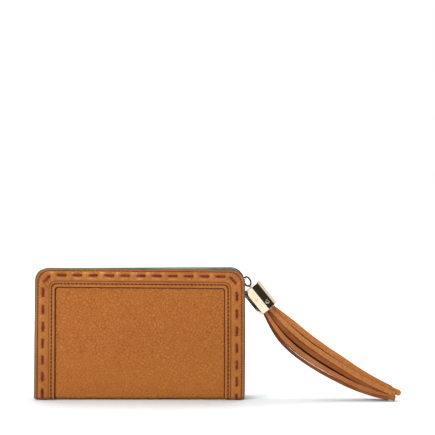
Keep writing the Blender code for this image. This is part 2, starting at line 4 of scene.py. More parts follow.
import bmesh
import bpy
import numpy as np
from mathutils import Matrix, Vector


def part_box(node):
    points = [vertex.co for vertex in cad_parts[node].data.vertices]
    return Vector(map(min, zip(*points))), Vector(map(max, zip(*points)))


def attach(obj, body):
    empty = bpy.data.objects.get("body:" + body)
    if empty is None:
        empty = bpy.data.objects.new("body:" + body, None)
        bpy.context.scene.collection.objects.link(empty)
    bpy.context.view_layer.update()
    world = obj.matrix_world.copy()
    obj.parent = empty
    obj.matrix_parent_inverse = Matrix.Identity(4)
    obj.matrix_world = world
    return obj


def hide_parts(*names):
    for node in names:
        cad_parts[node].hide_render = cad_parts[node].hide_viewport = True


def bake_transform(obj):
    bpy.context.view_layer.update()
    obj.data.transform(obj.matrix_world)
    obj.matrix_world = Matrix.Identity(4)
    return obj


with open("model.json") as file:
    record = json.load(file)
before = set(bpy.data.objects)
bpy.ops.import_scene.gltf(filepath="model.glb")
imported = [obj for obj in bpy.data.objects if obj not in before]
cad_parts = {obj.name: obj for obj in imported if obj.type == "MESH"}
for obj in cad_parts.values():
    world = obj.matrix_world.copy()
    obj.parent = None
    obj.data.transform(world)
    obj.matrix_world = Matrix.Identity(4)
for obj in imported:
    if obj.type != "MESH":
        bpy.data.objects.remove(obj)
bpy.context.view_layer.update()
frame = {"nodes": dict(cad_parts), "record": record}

MM = 0.001

# ------------------------------------------------------------------ sizes, millimetres

HALF_WIDTH = 85.0
HEIGHT = 107.0
CORNER_RADIUS = 12.0
CORNER_TAPER = 0.5
FOLD_Y = 7.6
FOLD_Z = 3.2
FOLD_REACH = 3.2 * pi / 2               # leather that goes round a quarter of the fold
FOOT = FOLD_Z - FOLD_REACH - FOLD_Y     # height coordinate of the middle of the spine
LACE_INSET = 6.8
EASE = 12.0                             # stretch over which the sides ease into the corners

LEG = HEIGHT - LACE_INSET - (CORNER_RADIUS - CORNER_TAPER * LACE_INSET) - FOOT
LACE_RADIUS = CORNER_RADIUS - CORNER_TAPER * LACE_INSET
CORNER = LACE_RADIUS * pi / 2
TOP = 2 * (HALF_WIDTH - LACE_INSET - LACE_RADIUS)
ARCH = 2 * LEG + 2 * CORNER + TOP

LEATHER_LEVEL = 10.8
PANEL_HALF = 69.8
PANEL_TOP = 91.8
PANEL_STEP = 0.5
PANEL_CORNER = 2.6                      # radius of the painted shadow line beside the welt
PEBBLE = 2.5
FRONT_DROOP = 0.0155                    # the front cover sits a little lower at the slider's end
BACK_DROP = 1.5                         # how much lower the zip and back sit, left, and less right
FOOT_FLARE = 0.9                        # how far the left side stands out at its foot
STITCH_PITCH = 3.2
RIM_PITCH = 2.0
SIDES = (("front", -1), ("back", 1))    # the covers, and which way each faces

rng = np.random.default_rng(7)


# ------------------------------------------------------------------ surface coordinates

def smoothstep(t):
    t = np.clip(t, 0.0, 1.0)
    return t * t * (3 - 2 * t)


def bell(offset, width):
    return np.exp(-(offset / width) ** 2)


def back_drop(x, v):
    """How far the back cover and the zip sit below their full height."""
    return BACK_DROP * (1 - 0.6 * (x / HALF_WIDTH + 1) / 2) * np.clip(v / HEIGHT, 0, 1) ** 2


def place(side, x, v, level):
    """World points of cover coordinates: x across, v up the leather, level out from the middle.

    Below the fold line the leather turns under the spine, where it is pressed flatter.
    """
    x, v, level = np.broadcast_arrays(np.asarray(x, float), v, level)
    if side < 0:
        droop = FRONT_DROOP * (x + HALF_WIDTH) / (2 * HALF_WIDTH)
        tall = v + smoothstep((v - 55) / 35) * (1 - smoothstep((v - 102) / 5.5))
        v = np.where(v > FOLD_Z, FOLD_Z + (tall - FOLD_Z) * (1 - droop), v)
    else:
        v = v - back_drop(x, v)
    low = np.clip(1 - v / 95, 0, 1)
    x = x + np.where(x < 0, -FOOT_FLARE * low, -0.5 * low ** 6) * np.abs(x / HALF_WIDTH) ** 3
    turned = np.clip((FOLD_Z - v) / FOLD_REACH, 0, 1)
    beyond = np.maximum(FOLD_Z - v - FOLD_REACH, 0)
    under = np.where(level > LEATHER_LEVEL,
                     np.maximum(0.8 * np.exp((LEATHER_LEVEL - level) / 0.8) - 0.15, 0.02),
                     0.65 + 0.95 * (LEATHER_LEVEL - level))
    under = under + 0.7 * smoothstep((np.abs(x) - 73.6) / 1.4)
    radius = level - FOLD_Y
    radius = radius + (FOLD_Z - under - radius) * smoothstep(turned)
    angle = turned * pi / 2
    y = side * (FOLD_Y + radius * np.cos(angle) - beyond)
    z = np.where(v >= FOLD_Z, v, FOLD_Z - radius * np.sin(angle))
    return np.stack([x, y, z], axis=-1)


def arch_at(s, inset):
    """Cover coordinates (x, v) at a length s along the arch of the lacing, and an inset."""
    s, inset = np.broadcast_arrays(np.asarray(s, float), inset)
    radius = CORNER_RADIUS - CORNER_TAPER * inset - 1.4 * smoothstep((inset - 10.5) / 3)
    middle_x = HALF_WIDTH - inset - radius
    middle_v = HEIGHT - inset - radius
    mirrored = s > ARCH / 2
    t = np.where(mirrored, ARCH - s, s)
    ease = np.clip((t - LEG + EASE) / EASE, 0, 1) ** 2
    leg_v = FOOT + t + (middle_v - FOOT - LEG) * ease
    angle = np.clip((t - LEG) / CORNER, 0, 1) * pi / 2
    ease = np.clip(1 - (t - LEG - CORNER) / EASE, 0, 1) ** 2
    top_x = -TOP / 2 + (t - LEG - CORNER) + (TOP / 2 - middle_x) * ease
    on_leg = t < LEG
    on_top = t > LEG + CORNER
    x = np.where(on_leg, inset - HALF_WIDTH,
                 np.where(on_top, top_x, -middle_x - radius * np.cos(angle)))
    v = np.where(on_leg, leg_v,
                 np.where(on_top, HEIGHT - inset, middle_v + radius * np.sin(angle)))
    return np.where(mirrored, -x, x), v


def on_arch(side, s, inset, level):
    return place(side, *arch_at(s, inset), level)


# ------------------------------------------------------------------ mesh helpers

def add_object(name, data):
    made = bpy.data.objects.new(name, data)
    bpy.context.scene.collection.objects.link(made)
    return made


def make_mesh(name, points, faces, look, body=None, smooth=True, slot=None):
    """Object from points in millimetres, with its faces pointing out.

    The look is the name of a material, or a list of names.
    """
    mesh = bpy.data.meshes.new(name)
    mesh.from_pydata((np.asarray(points, float) * MM).tolist(), [], faces)
    edit = bmesh.new()
    edit.from_mesh(mesh)
    bmesh.ops.recalc_face_normals(edit, faces=edit.faces)
    edit.to_mesh(mesh)
    edit.free()
    if smooth:
        mesh.shade_smooth()
        mesh.set_sharp_from_angle(angle=radians(50))
    made = add_object(name, mesh)
    for entry in [look] if isinstance(look, str) else look:
        mesh.materials.append(MATERIALS[entry])
    if body:
        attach(made, body)
    return made


def grid_faces(rows, columns, offset=0, wrap=False):
    faces = []
    last = columns if wrap else columns - 1
    for i in range(rows - 1):
        for j in range(last):
            k = (j + 1) % columns
            a, b = offset + i * columns, offset + (i + 1) * columns
            faces.append((a + j, a + k, b + k, b + j))
    return faces


def loft(rings, closed=False):
    """Points and faces of equal rings joined in order, capped at both ends unless closed."""
    rings = np.asarray(rings, float)
    count, size = rings.shape[:2]
    faces = grid_faces(count, size, wrap=True)
    if closed:
        start = (count - 1) * size
        faces += [(start + k, start + (k + 1) % size, (k + 1) % size, k) for k in range(size)]
    else:
        faces += [tuple(range(size)), tuple(range((count - 1) * size, count * size))]
    return rings.reshape(-1, 3), faces


def gather(shapes):
    """Several (points, faces) as one."""
    points, faces, offset = [], [], 0
    for some, cells in shapes:
        points.append(some)
        faces += [tuple(k + offset for k in cell) for cell in cells]
        offset += len(some)
    return np.concatenate(points), faces


def backed_grid(top, bottom_left, bottom_right):
    """Closed sheet: a fine upper grid, and a lower side of one strip for each row."""
    rows, columns = top.shape[:2]
    points = np.concatenate([top.reshape(-1, 3), bottom_left, bottom_right])
    left, right = rows * columns, rows * columns + rows
    faces = grid_faces(rows, columns)
    for i in range(rows - 1):
        a, b = i * columns, (i + 1) * columns
        faces.append((a, b, left + i + 1, left + i))
        faces.append((a + columns - 1, right + i, right + i + 1, b + columns - 1))
        faces.append((left + i, left + i + 1, right + i + 1, right + i))
    faces.append(tuple(range(columns)) + (right, left))
    end = (rows - 1) * columns
    faces.append(tuple(range(end, end + columns)) + (right + rows - 1, left + rows - 1))
    return points, faces


def sheet_grid(top, bottom):
    """Closed sheet between two equal grids."""
    rows, columns = top.shape[:2]
    points = np.concatenate([top.reshape(-1, 3), bottom.reshape(-1, 3)])
    under = rows * columns
    faces = grid_faces(rows, columns)
    faces += [tuple(reversed(f)) for f in grid_faces(rows, columns, under)]
    border = [i * columns for i in range(rows)]
    border += [(rows - 1) * columns + j for j in range(1, columns)]
    border += [i * columns + columns - 1 for i in reversed(range(rows - 1))]
    border += [j for j in reversed(range(1, columns - 1))]
    for a, b in zip(border, border[1:] + border[:1]):
        faces.append((a, b, under + b, under + a))
    return points, faces


def colour_points(made, name, values):
    """Stores one number for each point, which the material reads by name."""
    attribute = made.data.attributes.new(name, "FLOAT", "POINT")
    attribute.data.foreach_set("value", np.asarray(values, np.float32))


def value_noise(u, v, cell, seed):
    """Smooth noise from -1 to 1 over the plane, with features about a cell wide."""
    table = np.random.default_rng(seed).uniform(-1, 1, (64, 64))
    a, b = np.asarray(u, float) / cell, np.asarray(v, float) / cell
    i, j = np.floor(a).astype(int), np.floor(b).astype(int)
    f, g = smoothstep(a - i), smoothstep(b - j)
    low = table[i % 64, j % 64] * (1 - f) + table[(i + 1) % 64, j % 64] * f
    high = table[i % 64, (j + 1) % 64] * (1 - f) + table[(i + 1) % 64, (j + 1) % 64] * f
    return low * (1 - g) + high * g


def pebbles(u, v, cell, seed):
    """Height from 0 in the creases to 1 on top of irregular pebbles about a cell wide."""
    table = np.random.default_rng(seed).uniform(0.05, 0.95, (128, 128, 3))
    a, b = u / cell, v / cell
    i, j = np.floor(a).astype(int), np.floor(b).astype(int)
    first = np.full(a.shape, 9.0)
    second = np.full(a.shape, 9.0)
    lift = np.zeros(a.shape)
    for di in range(-2, 3):
        for dj in range(-2, 3):
            seeds = table[(i + di) % 128, (j + dj) % 128]
            distance = np.hypot(i + di + seeds[..., 0] - a, j + dj + seeds[..., 1] - b)
            nearer = distance < first
            second = np.where(nearer, first, np.minimum(second, distance))
            lift = np.where(nearer, seeds[..., 2], lift)
            first = np.minimum(first, distance)
    crease = smoothstep((second - first) / 0.42)
    return crease * (0.55 + 0.45 * lift)


# ------------------------------------------------------------------ materials

class Nodes:
    """Small helper around the node tree of a material or of the world."""

    def __init__(self, owner):
        owner.use_nodes = True
        self.owner = owner
        self.tree = owner.node_tree
        self.shader = self.tree.nodes.get("Principled BSDF")
        self.coordinates = self.tree.nodes.new("ShaderNodeTexCoord").outputs
        self.place = self.coordinates["Object"]

    def feed(self, socket, value):
        """Links an input to another node's output, or gives it a plain value."""
        if isinstance(value, bpy.types.NodeSocket):
            self.tree.links.new(value, socket)
        else:
            socket.default_value = value

    def add(self, kind, inputs=None, **settings):
        made = self.tree.nodes.new(kind)
        for key, value in settings.items():
            setattr(made, key, value)
        for key, value in (inputs or {}).items():
            self.feed(made.inputs[key], value)
        return made

    def noise(self, scale, detail=3.0, roughness=0.5):
        inputs = {"Vector": self.place, "Scale": scale, "Detail": detail, "Roughness": roughness}
        return self.add("ShaderNodeTexNoise", inputs).outputs["Fac"]

    def wave(self, scale, direction, distortion=0.0):
        inputs = {"Vector": self.place, "Scale": scale, "Distortion": distortion}
        return self.add("ShaderNodeTexWave", inputs, bands_direction=direction).outputs["Fac"]

    def ramp(self, factor, stops):
        made = self.add("ShaderNodeValToRGB", {"Fac": factor})
        elements = made.color_ramp.elements
        while len(elements) < len(stops):
            elements.new(0.5)
        for element, (position, colour) in zip(elements, stops):
            element.position = position
            element.color = (*colour, 1.0)
        return made.outputs["Color"]

    def mix(self, factor, below, above, blend="MIX"):
        if not isinstance(above, bpy.types.NodeSocket):
            above = (*above, 1.0)
        return self.add("ShaderNodeMix", {0: factor, 6: below, 7: above},
                        data_type="RGBA", blend_type=blend).outputs[2]

    def maths(self, operation, a, b=0.0):
        return self.add("ShaderNodeMath", {0: a, 1: b}, operation=operation).outputs[0]

    def map_range(self, value, low, high, to_low=0.0, to_high=1.0):
        return self.add("ShaderNodeMapRange", {"Value": value, "From Min": low, "From Max": high,
                                               "To Min": to_low, "To Max": to_high}).outputs[0]

    def bump(self, height, strength, distance, normal=None):
        inputs = {"Height": height, "Strength": strength, "Distance": distance}
        if normal:
            inputs["Normal"] = normal
        return self.add("ShaderNodeBump", inputs).outputs["Normal"]

    def finish(self, colour, roughness, normal=None, **constants):
        inputs = {"Base Color": colour, "Roughness": roughness}
        if normal:
            inputs["Normal"] = normal
        inputs.update({key.replace("_", " "): value for key, value in constants.items()})
        for key, value in inputs.items():
            self.feed(self.shader.inputs[key], value)
        return self.owner


def new_material(name):
    return Nodes(bpy.data.materials.new(name))


# colour of a painted highlight on the band, between and under the laces
PAINTED_HIGHLIGHT_COLOUR = (0.70, 0.34, 0.13)
DEEP_SHADE = 0.16                       # a deep crease's colour, as a share of a crease's


def leather_material(name, dark, middle, light, grain, roughness, bump, tint_scale, specular,
                     crease_shade=None):
    """Leather with blotchy dye, fine pores and, where points carry it, a darker crease.

    A point's crease value is 1 on clean leather, 0 in a crease's painted shade, -1 in a deep
    painted shadow and 2 under a painted highlight.
    """
    n = new_material(name)
    blotch = n.noise(tint_scale, 4.0, 0.55)
    colour = n.ramp(blotch, [(0.3, dark), (0.5, middle), (0.72, light)])
    pores = n.add("ShaderNodeTexVoronoi", {"Vector": n.place, "Scale": grain},
                  feature="DISTANCE_TO_EDGE").outputs["Distance"]
    pore = n.map_range(pores, 0.0, 0.12)
    shade = n.map_range(pore, 0.0, 1.0, 0.8)
    grey = n.add("ShaderNodeCombineColor", {0: shade, 1: shade, 2: shade}).outputs[0]
    colour = n.mix(1.0, colour, grey, "MULTIPLY")
    # painted shade: creases take the crease colour and deep ones a near-black shade; values above 1
    # mix in a painted highlight
    if crease_shade:
        level = n.add("ShaderNodeAttribute", attribute_name="crease").outputs["Fac"]
        colour = n.mix(n.map_range(level, 0.0, 1.0, 1.0, 0.0), colour, crease_shade)
        deep = tuple(DEEP_SHADE * c for c in crease_shade)
        colour = n.mix(n.map_range(level, -1.0, 0.0, 1.0, 0.0), colour, deep)
        colour = n.mix(n.map_range(level, 1.0, 2.0), colour, PAINTED_HIGHLIGHT_COLOUR)
    fine = n.noise(2600.0, 2.0, 0.6)
    normal = n.bump(fine, bump * 0.5, 0.00008)
    normal = n.bump(pore, bump, 0.0001, normal)
    rough = n.map_range(n.noise(90.0), 0.3, 0.7, *roughness)
    return n.finish(colour, rough, normal, Specular_IOR_Level=specular)


# Dark, middle and light dye; scale of pores; roughness; bump; scale of blotches; specular level;
# and the painted shade colour in creases, for leather whose points carry them
LEATHERS = {
    "pebbled_leather": ((0.445, 0.140, 0.015), (0.455, 0.145, 0.017), (0.465, 0.151, 0.020),
                        1500.0, (0.44, 0.54), 0.12, 28.0, 0.3, (0.26, 0.064, 0.004)),
    "smooth_leather": ((0.36, 0.108, 0.014), (0.41, 0.131, 0.021), (0.47, 0.160, 0.031),
                       1900.0, (0.34, 0.46), 0.2, 40.0, 0.26, (0.12, 0.030, 0.005)),
    "lace_leather": ((0.125, 0.020, 0.007), (0.18, 0.030, 0.011), (0.25, 0.048, 0.020),
                     1700.0, (0.55, 0.7), 0.4, 160.0, 0.12),
    "tassel_leather": ((0.25, 0.068, 0.013), (0.31, 0.088, 0.019), (0.37, 0.110, 0.026),
                       1300.0, (0.5, 0.66), 0.3, 60.0, 0.2),
    "tassel_smooth_leather": ((0.35, 0.112, 0.026), (0.39, 0.130, 0.032), (0.43, 0.150, 0.040),
                              1300.0, (0.45, 0.6), 0.15, 60.0, 0.25),
    "tassel_grained_leather": ((0.38, 0.118, 0.020), (0.46, 0.160, 0.034), (0.56, 0.215, 0.060),
                               800.0, (0.45, 0.6), 0.8, 700.0, 0.3),
    # near-black painted shade for the strips just behind the front ones
    "tassel_painted_shade": ((0.022, 0.008, 0.003), (0.032, 0.011, 0.004), (0.045, 0.016, 0.006),
                          1300.0, (0.8, 0.9), 0.5, 200.0, 0.05),
    # the strips' cut edges: partly their own dark colour, partly painted shade for the lines
    # between strips
    "tassel_edge_and_shade": ((0.11, 0.026, 0.011), (0.16, 0.038, 0.016), (0.22, 0.058, 0.025),
                        1500.0, (0.7, 0.85), 0.5, 200.0, 0.2),
    "painted_edge": ((0.040, 0.045, 0.032), (0.060, 0.068, 0.050), (0.09, 0.10, 0.078),
                     1200.0, (0.4, 0.55), 0.2, 28.0, 0.3),
    "lining_leather": ((0.28, 0.115, 0.040), (0.33, 0.145, 0.052), (0.38, 0.175, 0.068),
                       1600.0, (0.6, 0.75), 0.25, 28.0, 0.45),
}
# Dark and light colour, and roughness
METALS = {
    "zip_brass": ((0.27, 0.25, 0.205), (0.36, 0.33, 0.27), (0.38, 0.5)),
    "ring_gunmetal": ((0.055, 0.047, 0.032), (0.09, 0.075, 0.052), (0.22, 0.30)),
    "cap_gold": ((0.80, 0.64, 0.47), (0.86, 0.71, 0.55), (0.05, 0.10)),
}


def build_materials():
    made = {name: leather_material(name, *values) for name, values in LEATHERS.items()}
    made.update((name, metal_material(name, *values)) for name, values in METALS.items())
    made.update(stitch_thread=thread_material(), zip_tape_weave=tape_material(),
                fibre_board=board_material(), studio_floor=floor_material())
    return made


def thread_material():
    """Waxed polyester thread with a fine twist."""
    n = new_material("stitch_thread")
    twist = n.wave(900.0, "DIAGONAL", 2.0)
    colour = n.ramp(twist, [(0.2, (0.030, 0.009, 0.003)), (0.8, (0.075, 0.023, 0.006))])
    return n.finish(colour, 0.8, n.bump(twist, 0.4, 0.0001), Specular_IOR_Level=0.05)


def tape_material():
    """Woven zip tape, warm grey-green."""
    n = new_material("zip_tape_weave")
    along, across, up = (n.wave(520.0, axis) for axis in "XYZ")
    weave = n.maths("MULTIPLY", n.maths("MAXIMUM", along, up), across)
    colour = n.ramp(weave, [(0.1, (0.12, 0.135, 0.115)), (0.8, (0.27, 0.30, 0.265))])
    return n.finish(colour, 0.85, n.bump(weave, 0.6, 0.00015))


def metal_material(name, dark, light, roughness):
    n = new_material(name)
    colour = n.ramp(n.noise(70.0), [(0.35, dark), (0.65, light)])
    scratch = n.noise(900.0, 2.0, 0.7)
    rough = n.map_range(scratch, 0.3, 0.7, *roughness)
    return n.finish(colour, rough, n.bump(scratch, 0.04, 0.00005), Metallic=1.0)


def board_material():
    n = new_material("fibre_board")
    fleck = n.noise(600.0, 4.0, 0.7)
    colour = n.ramp(fleck, [(0.35, (0.13, 0.10, 0.07)), (0.65, (0.22, 0.17, 0.12))])
    return n.finish(colour, 0.9, n.bump(fleck, 0.4, 0.0001))


FLOOR_GLOW = 0.8                        # far from the object, where the lights don't reach
GLOW_SPAN = (0.35, 0.8)                 # metres over which the glow comes in


def floor_material():
    n = new_material("studio_floor")
    colour = n.ramp(n.noise(3.0), [(0.4, (0.740, 0.765, 0.775)), (0.6, (0.750, 0.775, 0.785))])
    distance = n.add("ShaderNodeVectorMath", {0: n.place}, operation="LENGTH").outputs["Value"]
    return n.finish(colour, 0.9, Emission_Color=(1, 1, 1, 1), Specular_IOR_Level=0.0,
                    Emission_Strength=n.map_range(distance, *GLOW_SPAN, 0.0, FLOOR_GLOW))


MATERIALS = build_materials()


# ------------------------------------------------------------------ lacing plan

def lace_stitches():
    """Middles of the visible running stitches, as lengths along the arch."""
    left = [86.2 - 13.45 * k - FOOT for k in range(7)]
    corner = LEG + CORNER / 2
    top = [LEG + CORNER + TOP / 2 - 63.2 + 12.83 * k for k in range(11)]
    right = [ARCH - (83.9 - 13.8 * k - FOOT) for k in range(7)]
    return sorted(left + [corner] + top + [ARCH - corner] + right)


STITCHES = np.array(lace_stitches())
FROM_END = np.minimum(STITCHES, ARCH - STITCHES)
AT_CORNER = abs(FROM_END - LEG - CORNER / 2) < 0.1
STITCH_HALF = 3.5
HALVES = STITCH_HALF + 0.12 * np.cos(1.7 * np.arange(len(STITCHES))) - 0.1 * AT_CORNER


# ------------------------------------------------------------------ covers

BAND_SECTION = (
    (1.3, 8.45), (0.9, 8.35), (0.35, 8.4), (0.05, 8.8), (0.0, 9.5), (0.0, 10.3), (0.02, 10.9),
    (0.25, 11.35), (0.6, 11.58), (1.0, 11.7), (1.5, 11.78), (2.0, 11.72), (2.4, 11.55),
    (2.7, 11.42), (3.0, 11.55), (3.4, 11.75), (3.9, 11.92), (4.5, 12.07), (5.1, 12.17),
    (5.7, 12.23), (6.2, 12.26), (6.8, 12.27), (7.4, 12.26), (7.9, 12.22), (8.5, 12.14),
    (9.1, 12.03), (9.7, 11.88), (10.2, 11.7), (10.7, 11.54), (11.15, 11.4), (11.55, 11.2),
    (11.5, 10.88), (1.3, 10.88),
)
WELT_SECTION = (
    (11.75, 10.88), (11.68, 11.3), (11.8, 11.68), (12.1, 11.9), (12.5, 12.0), (12.95, 11.98),
    (13.35, 11.86), (13.7, 11.62), (14.05, 11.86), (14.45, 12.02), (14.9, 12.08),
    (15.4, 12.06), (15.85, 11.95), (16.2, 11.75), (16.42, 11.45), (16.5, 11.1), (16.45, 10.88),
)
SECTION_STEP = 0.6           # between stations along the arch
BAND_EDGE_FACES = 10         # section faces on the rim's side, which carry the edge paint
RIM_TONE = 0.85              # crease value outside the rim's seam, a little darker
RIM_SEAM = 2.7               # inset of the rim's machine stitches
WELT_SEAM = 13.7             # inset of the welt's machine stitches
WELT_EDGE = 16.5             # inset where the welt ends and the panel shows


def band_relief(s, inset):
    """How the lacing pulls the puffed band in, with painted shade and a painted highlight."""
    nearest = np.argmin(np.abs(s[..., None] - STITCHES), axis=-1)
    along = s - STITCHES[nearest]
    half = HALVES[nearest]
    across = inset - LACE_INSET
    under_lace = smoothstep((half + 0.5 - np.abs(along)) / 1.3)
    dip = 0.5 * under_lace * bell(across, 1.5)
    hole = bell(np.abs(along) - half + 0.1, 0.5) * bell(across, 0.8)
    gap = bell(np.abs(along) - half - 0.2, 1.5)
    pull = 0.4 * gap * bell(across, 2.6)
    phase = np.abs(across) * 0.9 + along * 2.1 + 3 * value_noise(s, inset, 9.0, 3)
    pucker = 0.42 * np.sin(phase) * bell(np.abs(across) - 2.2, 1.9)
    pucker *= 0.6 + 0.4 * value_noise(s, inset, 6.0, 4)
    wrinkle = 0.08 * value_noise(s * 1.9, inset, 1.3, 5) + 0.16 * value_noise(s, inset, 8.0, 6)
    edge = smoothstep((inset - 3.0) / 1.2) * smoothstep((11.2 - inset) / 1.4)
    height = edge * (-dip - pull + pucker + wrinkle) - 0.62 * hole
    # painted shade: darker in the rim seam's groove, in the lace holes and along the fold line
    # beside the welt
    seam = stitch_shade(s, RIM_PITCH) * bell(inset - RIM_SEAM, 0.46)
    fold = 0.3 * bell(inset - 11.4, 0.3)
    # painted highlight: paler between and under the laces, strongest along the top and towards the
    # left, where the light falls
    on_top = smoothstep((s - LEG) / 12) * smoothstep((ARCH - LEG - s) / 110)
    between = smoothstep((np.abs(along) - half + 2.2) / 4.5)
    painted_highlight = between * bell(inset - 4.7, 0.9)
    painted_highlight += (1 - between) * bell(inset - 9.2, 0.7)
    painted_highlight *= (0.12 + 0.55 * on_top) * np.clip(0.55 + 0.9 * value_noise(s, inset, 2.6, 7), 0, 1.2)
    return height, 1 + painted_highlight - np.clip(1.2 * hole + seam + fold, 0, 2)


def stitch_phase(s, pitch):
    return s / (ARCH / int(ARCH / pitch)) % 1


def stitch_shade(s, pitch):
    """Darkness of a seam's groove: deep where a thread lies, lighter between the stitches."""
    return 0.5 + 0.9 * smoothstep((0.42 - np.abs(stitch_phase(s, pitch) - 0.5)) / 0.2)


def section_on_arch(side, section, relief):
    """Closed section swept round the arch; returns rings, and a crease value for each point."""
    stations = np.linspace(0, ARCH, int(ARCH / SECTION_STEP) + 1)
    section = np.array(section)
    s, inset = np.meshgrid(stations, section[:, 0], indexing="ij")
    level = np.broadcast_to(section[:, 1], s.shape)
    height, crease = relief(s, inset)
    outer = (level > 11.0) & (inset > 2.2)
    level = level + np.where(outer, height, 0)
    return on_arch(side, s, inset, level), np.where(outer, crease, RIM_TONE)


def add_band(prefix, side):
    rings, crease = section_on_arch(side, BAND_SECTION, band_relief)
    made = make_mesh(prefix + "_band_skin", *loft(rings), ["smooth_leather", "painted_edge"],
                     slot="smooth_leather")
    colour_points(made, "crease", crease.reshape(-1))
    size = len(BAND_SECTION)
    for index, polygon in enumerate(made.data.polygons):
        if index < (len(rings) - 1) * size and index % size < BAND_EDGE_FACES - 1:
            polygon.material_index = 1
    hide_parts(prefix + "_band")
    return made


def welt_relief(s, inset):
    """Small bumps between the stitches, on both sides of the seam."""
    beside = inset - WELT_SEAM
    bumps = 0.5 + 0.5 * np.cos(2 * pi * stitch_phase(s, STITCH_PITCH) + 0.9 * beside)
    return -0.26 * bumps * bell(np.abs(beside) - 0.6, 0.9), np.ones(s.shape)


def add_welt(prefix, side):
    rings, crease = section_on_arch(side, WELT_SECTION, welt_relief)
    inset = np.broadcast_to(np.array(WELT_SECTION)[:, 0], crease.shape)
    # painted shade: darker at the outer edge in the gap beside the band, a near-black painted
    # shadow along the inner edge, and darker in the seam's groove
    crease = np.clip((inset - 11.7) / 0.3, 0.4, 1) - 1.6 * smoothstep((inset - 16.15) / 0.3)
    stations = np.linspace(0, ARCH, len(crease))[:, None]
    seam = bell(inset - WELT_SEAM, 0.52)
    crease -= 1.15 * stitch_shade(stations, STITCH_PITCH) * seam
    made = make_mesh(prefix + "_welt_strip", *loft(rings), "smooth_leather", slot="smooth_leather")
    colour_points(made, "crease", np.clip(crease, -1, 1).reshape(-1))
    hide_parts(prefix + "_welt")
    return made


def add_panel(prefix, side):
    """Pebbled leather from the middle of the spine, round the fold and up under the welt."""
    columns = int(2 * PANEL_HALF / PANEL_STEP) + 1
    rows = int((PANEL_TOP - FOOT) / PANEL_STEP) + 1
    x = np.linspace(-PANEL_HALF, PANEL_HALF, columns)
    v = np.linspace(FOOT, PANEL_TOP, rows)
    v, x = np.meshgrid(v, x, indexing="ij")
    warp_x = 1.5 * value_noise(x, v, 6.3, 11) + 0.6 * value_noise(x, v, 2.7, 16)
    warp_v = 1.5 * value_noise(x, v, 6.3, 12) + 0.6 * value_noise(x, v, 2.7, 17)
    turned_x, turned_v = 0.85 * x - 0.52 * v, 0.52 * x + 0.85 * v
    coarse = pebbles(turned_x + warp_x + 200, turned_v + warp_v + 200, PEBBLE, 13)
    fine = pebbles(turned_x + 300 - warp_v, turned_v + 300 + warp_x, PEBBLE * 0.62, 14)
    height = 0.42 * coarse + 0.14 * fine
    swell = 0.5 * (1 - (x / PANEL_HALF) ** 2) * np.clip(v / PANEL_TOP, 0, 1)
    swell = swell * np.clip((PANEL_TOP - v) / 20, 0, 1)
    level = LEATHER_LEVEL - 0.4 + height + np.clip(swell, 0, None)
    level += 0.1 * value_noise(x, v, 22.0, 15)
    top = place(side, x, v, level)
    low = LEATHER_LEVEL - 0.9
    left = place(side, x[:, 0], v[:, 0], low)
    right = place(side, x[:, -1], v[:, -1], low)
    made = make_mesh(prefix + "_pebbled_skin", *backed_grid(top, left, right), "pebbled_leather",
                     slot="pebbled_leather")
    # painted shadow: a near-black line on the panel along the welt's edge
    from_side, from_top = HALF_WIDTH - WELT_EDGE - np.abs(x), HEIGHT - WELT_EDGE - v
    beside = np.minimum(from_side, from_top)
    turn = PANEL_CORNER
    in_corner = (from_side < turn) & (from_top < turn)
    beside = np.where(in_corner, turn - np.hypot(turn - from_side, turn - from_top), beside)
    rim = smoothstep((beside - 0.3) / 0.5)
    # painted light: the creases turn paler towards the bottom, where light from below falls
    painted_low_light = 0.3 * smoothstep((50 - v) / 40)
    # painted shade in the pebbles' creases, and the painted shadow line beside the welt
    painted_shading = np.clip(1.35 * (0.65 * coarse + 0.35 * fine) + painted_low_light, 0, 1) - 2.4 * (1 - rim)
    colour_points(made, "crease", np.concatenate([painted_shading.reshape(-1), np.ones(2 * rows)]))
    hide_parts(prefix + "_leather", "spine_leather")
    return made


def stitch_line(side, inset, level, pitch, radius, slant):
    """Machine stitches along an inset, each a short rounded thread that dips at its ends."""
    shapes = []
    count = int(ARCH / pitch)
    half = pitch * 0.40
    t = np.linspace(-1, 1, 7)
    thick = radius * np.sqrt(np.clip(1.04 - t ** 2, 0.02, 1))
    angles = np.arange(6) * pi / 3
    for k in range(count):
        s = (k + 0.5) * ARCH / count
        ring_s = s + half * t[:, None] + 0 * angles
        ring_inset = inset + thick[:, None] * np.cos(angles) + slant * t[:, None]
        ring_level = level - 0.16 * t[:, None] ** 2 + thick[:, None] * np.sin(angles)
        shapes.append(loft(on_arch(side, ring_s, ring_inset, ring_level)))
    return gather(shapes)


def add_stitches(prefix, side):
    lines = [stitch_line(side, RIM_SEAM, 11.5, RIM_PITCH, 0.2, 0.06),
             stitch_line(side, WELT_SEAM, 11.74, STITCH_PITCH, 0.3, 0.3)]
    return make_mesh(prefix + "_machine_stitches", *gather(lines), "stitch_thread",
                     slot="smooth_leather")


